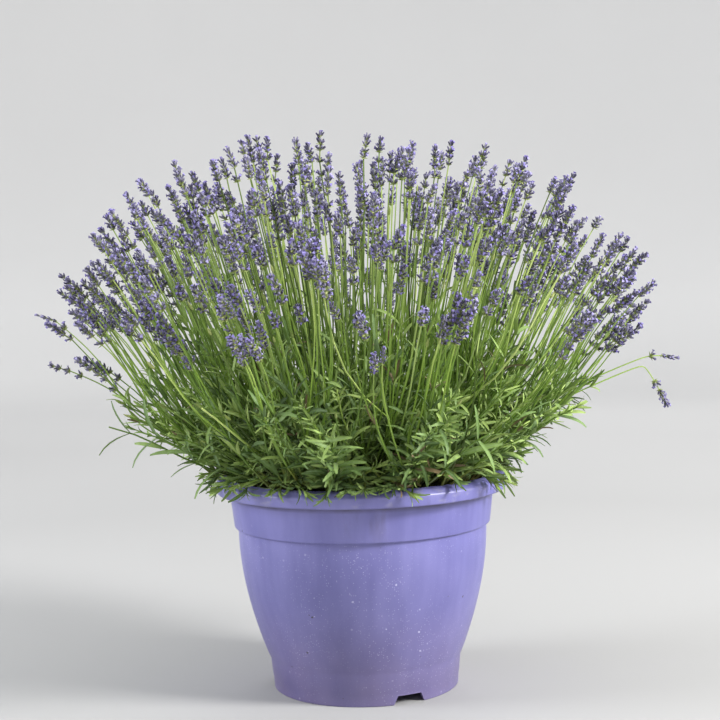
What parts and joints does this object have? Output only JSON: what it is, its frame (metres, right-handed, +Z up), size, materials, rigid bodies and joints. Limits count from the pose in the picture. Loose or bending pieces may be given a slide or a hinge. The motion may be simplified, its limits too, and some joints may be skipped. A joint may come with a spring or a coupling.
{
  "type": "potted lavender plant",
  "caption": "Bushy lavender in flower, in a plain flared plastic nursery pot with a rolled lip and a collar.",
  "frame": {"origin": "on the ground under the middle of the pot", "axes": "+Z up, -Y towards the front"},
  "size_m": [0.6405, 0.5809, 0.5531],
  "materials": {
    "pot": "satin",
    "soil": "matte",
    "stems_and_leaves": "matte",
    "flowers": "matte"
  },
  "bodies": {
    "root": {"flowers_inner_1_1": "flowers", "flowers_inner_1_2": "flowers", "flowers_inner_1_3": "flowers", "flowers_inner_2_1": "flowers", "flowers_inner_2_2": "flowers", "flowers_inner_2_3": "flowers", "flowers_inner_3_1": "flowers", "flowers_inner_3_2": "flowers", "flowers_inner_3_3": "flowers", "flowers_inner_4_1": "flowers", "flowers_inner_4_2": "flowers", "flowers_inner_4_3": "flowers", "flowers_inner_5_1": "flowers", "flowers_inner_5_2": "flowers", "flowers_inner_5_3": "flowers", "flowers_middle_1": "flowers", "flowers_middle_2": "flowers", "flowers_middle_3": "flowers", "flowers_middle_4": "flowers", "flowers_outer_1_1": "flowers", "flowers_outer_1_2": "flowers", "flowers_outer_1_3": "flowers", "flowers_outer_2_1": "flowers", "flowers_outer_2_2": "flowers", "flowers_outer_2_3": "flowers", "flowers_outer_2_4": "flowers", "flowers_outer_2_5": "flowers", "flowers_outer_2_6": "flowers", "flowers_outer_3_1": "flowers", "flowers_outer_3_2": "flowers", "flowers_outer_3_3": "flowers", "flowers_outer_3_4": "flowers", "flowers_outer_4_1": "flowers", "flowers_outer_4_2": "flowers", "flowers_outer_4_3": "flowers", "flowers_outer_4_4": "flowers", "flowers_outer_5_1": "flowers", "flowers_outer_5_2": "flowers", "flowers_outer_5_3": "flowers", "flowers_outer_5_4": "flowers", "flowers_outer_5_5": "flowers", "flowers_outer_5_6": "flowers", "flowers_outer_5_7": "flowers", "flowers_outer_6_1": "flowers", "flowers_outer_6_2": "flowers", "flowers_outer_6_3": "flowers", "pot": "pot", "soil": "soil", "spray_inner_1": "stems_and_leaves", "spray_inner_2": "stems_and_leaves", "spray_inner_3": "stems_and_leaves", "spray_inner_4": "stems_and_leaves", "spray_inner_5": "stems_and_leaves", "spray_middle": "stems_and_leaves", "spray_outer_1": "stems_and_leaves", "spray_outer_2": "stems_and_leaves", "spray_outer_3": "stems_and_leaves", "spray_outer_4": "stems_and_leaves", "spray_outer_5": "stems_and_leaves", "spray_outer_6": "stems_and_leaves"}
  },
  "joints": []
}
